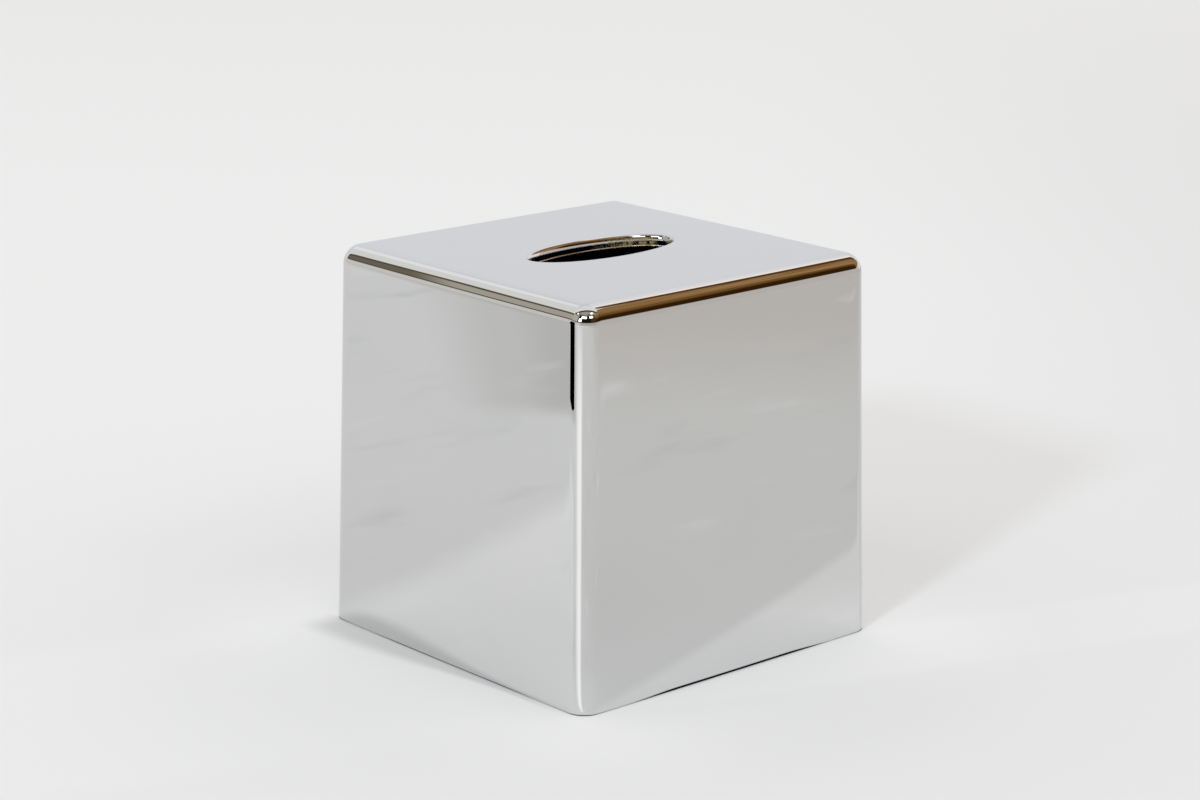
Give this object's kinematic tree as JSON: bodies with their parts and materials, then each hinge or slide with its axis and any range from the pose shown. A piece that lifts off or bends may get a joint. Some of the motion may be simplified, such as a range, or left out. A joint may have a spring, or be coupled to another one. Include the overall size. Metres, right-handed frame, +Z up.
{
  "type": "tissue box cover",
  "caption": "Mirror-plated cube cover that stands open side down over a tissue box, with a rolled oval slot in its top.",
  "frame": {"origin": "on the table, at the middle of the square foot", "axes": "+Z up through the middle of the slot, +X along the slot's length, -Y towards a wall beside the slot"},
  "size_m": [0.135, 0.135, 0.134],
  "materials": {
    "plating": "mirror bright plating with a very slight waviness"
  },
  "bodies": {
    "root": {"cover": "plating"}
  },
  "joints": []
}
